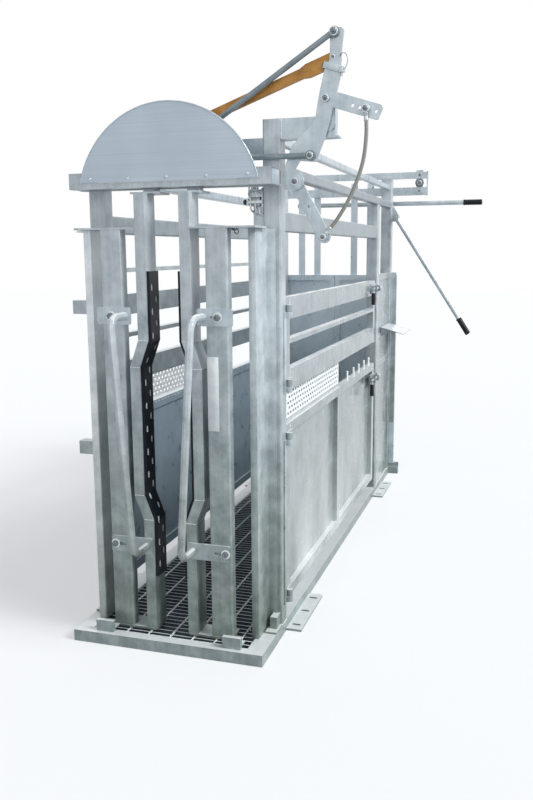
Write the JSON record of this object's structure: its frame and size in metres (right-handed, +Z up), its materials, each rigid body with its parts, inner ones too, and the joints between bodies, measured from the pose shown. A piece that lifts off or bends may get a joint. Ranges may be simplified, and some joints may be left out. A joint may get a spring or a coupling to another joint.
{
  "type": "cattle crush",
  "caption": "Galvanised steel cattle crush with a sliding neck yoke worked by a rocker and links, hinged side gates with sliding latches, and sliding rear doors.",
  "frame": {"origin": "on the ground, below the centre of the base frame", "axes": "+X to the side with the levers (the right in the picture), +Y from the yoke to the rear doors, +Z up"},
  "size_m": [1.722, 3.3048, 2.5],
  "materials": {
    "galvanised_steel": "hot-dip galvanised, dull spangle",
    "shaded_steel_sheet": "galvanised sheet, slightly darker",
    "sign_sheet": "satin pale blue-grey",
    "moulded_rubber": "matt black with pale moulded slots",
    "grip_rubber": "matt black",
    "yellow_plated_steel": "ochre, satin",
    "cable_cover": "grey, matt"
  },
  "bodies": {
    "frame": {"base_frame": "galvanised_steel", "floor_grating": "galvanised_steel", "grating_rods": "galvanised_steel", "guide_post_left": "galvanised_steel", "guide_post_right": "galvanised_steel", "header_track": "galvanised_steel", "main_post_left": "galvanised_steel", "main_post_right": "galvanised_steel", "latch_post_left": "galvanised_steel", "latch_post_right": "galvanised_steel", "latch_catch_upper": "galvanised_steel", "latch_catch_lower": "galvanised_steel", "hinge_strap_upper": "galvanised_steel", "hinge_strap_lower": "galvanised_steel", "rear_post_left": "galvanised_steel", "rear_post_right": "galvanised_steel", "top_rail_left": "galvanised_steel", "top_rail_right": "galvanised_steel", "upper_rail_left": "galvanised_steel", "upper_rail_right": "galvanised_steel", "tie_tube": "galvanised_steel", "front_beam": "galvanised_steel", "sign_plate": "sign_sheet", "mast_bracket": "galvanised_steel", "left_wall_upper": "galvanised_steel", "left_wall_lower": "galvanised_steel", "guard_strip_left": "galvanised_steel", "rear_bay_panel_left": "galvanised_steel", "rear_bay_panel_right": "galvanised_steel", "door_track": "galvanised_steel", "lever_bracket": "galvanised_steel"},
    "leaf_right": {"leaf_right": "galvanised_steel", "rubber_strip_right": "moulded_rubber", "pull_strap_top_right": "galvanised_steel", "pull_strap_low_right": "galvanised_steel", "pull_bar_right": "galvanised_steel"},
    "leaf_left": {"leaf_left": "galvanised_steel", "rubber_strip_left": "moulded_rubber", "pull_strap_top_left": "galvanised_steel", "pull_strap_low_left": "galvanised_steel", "pull_bar_left": "galvanised_steel"},
    "rocker": {"rocker_plate": "galvanised_steel", "trip_cable": "cable_cover"},
    "upper_link": {"upper_link": "galvanised_steel"},
    "lower_link": {"lower_link": "galvanised_steel"},
    "locking_bar": {"locking_bar": "yellow_plated_steel"},
    "trip_lever": {"trip_lever": "galvanised_steel"},
    "gate_upper": {"side_gate_upper": "galvanised_steel", "guard_strip_right": "galvanised_steel"},
    "gate_lower": {"side_gate_lower": "galvanised_steel"},
    "latch_upper": {"latch_bolt_upper": "galvanised_steel", "latch_grip_upper": "grip_rubber"},
    "latch_lower": {"latch_bolt_lower": "galvanised_steel", "latch_grip_lower": "grip_rubber"},
    "door_right": {"rear_door_right": "shaded_steel_sheet"},
    "door_left": {"rear_door_left": "shaded_steel_sheet", "rear_lever_one": "galvanised_steel", "rear_grip_one": "grip_rubber"},
    "lever_two": {"rear_lever_two": "galvanised_steel", "rear_grip_two": "grip_rubber"}
  },
  "joints": [
    {"name": "rocker_pivot", "type": "hinge", "parent": "frame", "child": "rocker", "pos_m": [0.616, -1.3133, 2.243], "axis": [0, -1, 0], "range_deg": [-4.81, 16.84]},
    {"name": "leaf_right_slide", "type": "slide", "parent": "frame", "child": "leaf_right", "axis": [1, 0, 0], "range_m": [-0.0182, 0.0634]},
    {"name": "leaf_left_slide", "type": "slide", "parent": "frame", "child": "leaf_left", "axis": [-1, 0, 0], "range_m": [-0.0201, 0.0701]},
    {"name": "upper_link_pin", "type": "hinge", "parent": "rocker", "child": "upper_link", "pos_m": [0.649, -1.3346, 2.48], "axis": [0, -1, 0], "range_deg": [-17, 5]},
    {"name": "lower_link_pin", "type": "hinge", "parent": "rocker", "child": "lower_link", "pos_m": [0.557, -1.3346, 2.032], "axis": [0, -1, 0], "range_deg": [-17, 5]},
    {"name": "locking_bar_pin", "type": "hinge", "parent": "rocker", "child": "locking_bar", "pos_m": [0.646, -1.3133, 2.388], "axis": [0, -1, 0], "range_deg": [-17, 5]},
    {"name": "trip_lever_pin", "type": "hinge", "parent": "rocker", "child": "trip_lever", "pos_m": [0.493, -1.3133, 1.936], "axis": [0, 1, 0], "range_deg": [0, 20]},
    {"name": "gate_upper_hinge", "type": "hinge", "parent": "frame", "child": "gate_upper", "pos_m": [0.442, -1.23, 1.07], "axis": [0, 0, -1], "range_deg": [0, 97]},
    {"name": "gate_lower_hinge", "type": "hinge", "parent": "frame", "child": "gate_lower", "pos_m": [0.442, -1.23, 0.13], "axis": [0, 0, -1], "range_deg": [0, 97]},
    {"name": "latch_upper_bolt", "type": "slide", "parent": "gate_upper", "child": "latch_upper", "axis": [0, -1, 0], "range_m": [0, 0.07]},
    {"name": "latch_lower_bolt", "type": "slide", "parent": "gate_lower", "child": "latch_lower", "axis": [0, -1, 0], "range_m": [0, 0.07]},
    {"name": "door_right_slide", "type": "slide", "parent": "frame", "child": "door_right", "axis": [1, 0, 0], "range_m": [0, 0.36]},
    {"name": "door_left_slide", "type": "slide", "parent": "frame", "child": "door_left", "axis": [-1, 0, 0], "range_m": [0, 0.36]},
    {"name": "rear_lever_two_pin", "type": "hinge", "parent": "frame", "child": "lever_two", "pos_m": [0.465, 1.465, 1.898], "axis": [0, -1, 0], "range_deg": [-17, 51]}
  ],
  "couplings": [
    {"joint": "leaf_right_slide", "follows": "rocker_pivot", "m_per_rad": 0.2155},
    {"joint": "leaf_left_slide", "follows": "rocker_pivot", "m_per_rad": 0.238},
    {"joint": "upper_link_pin", "follows": "rocker_pivot", "ratio": -1},
    {"joint": "lower_link_pin", "follows": "rocker_pivot", "ratio": -1},
    {"joint": "locking_bar_pin", "follows": "rocker_pivot", "ratio": -1}
  ]
}
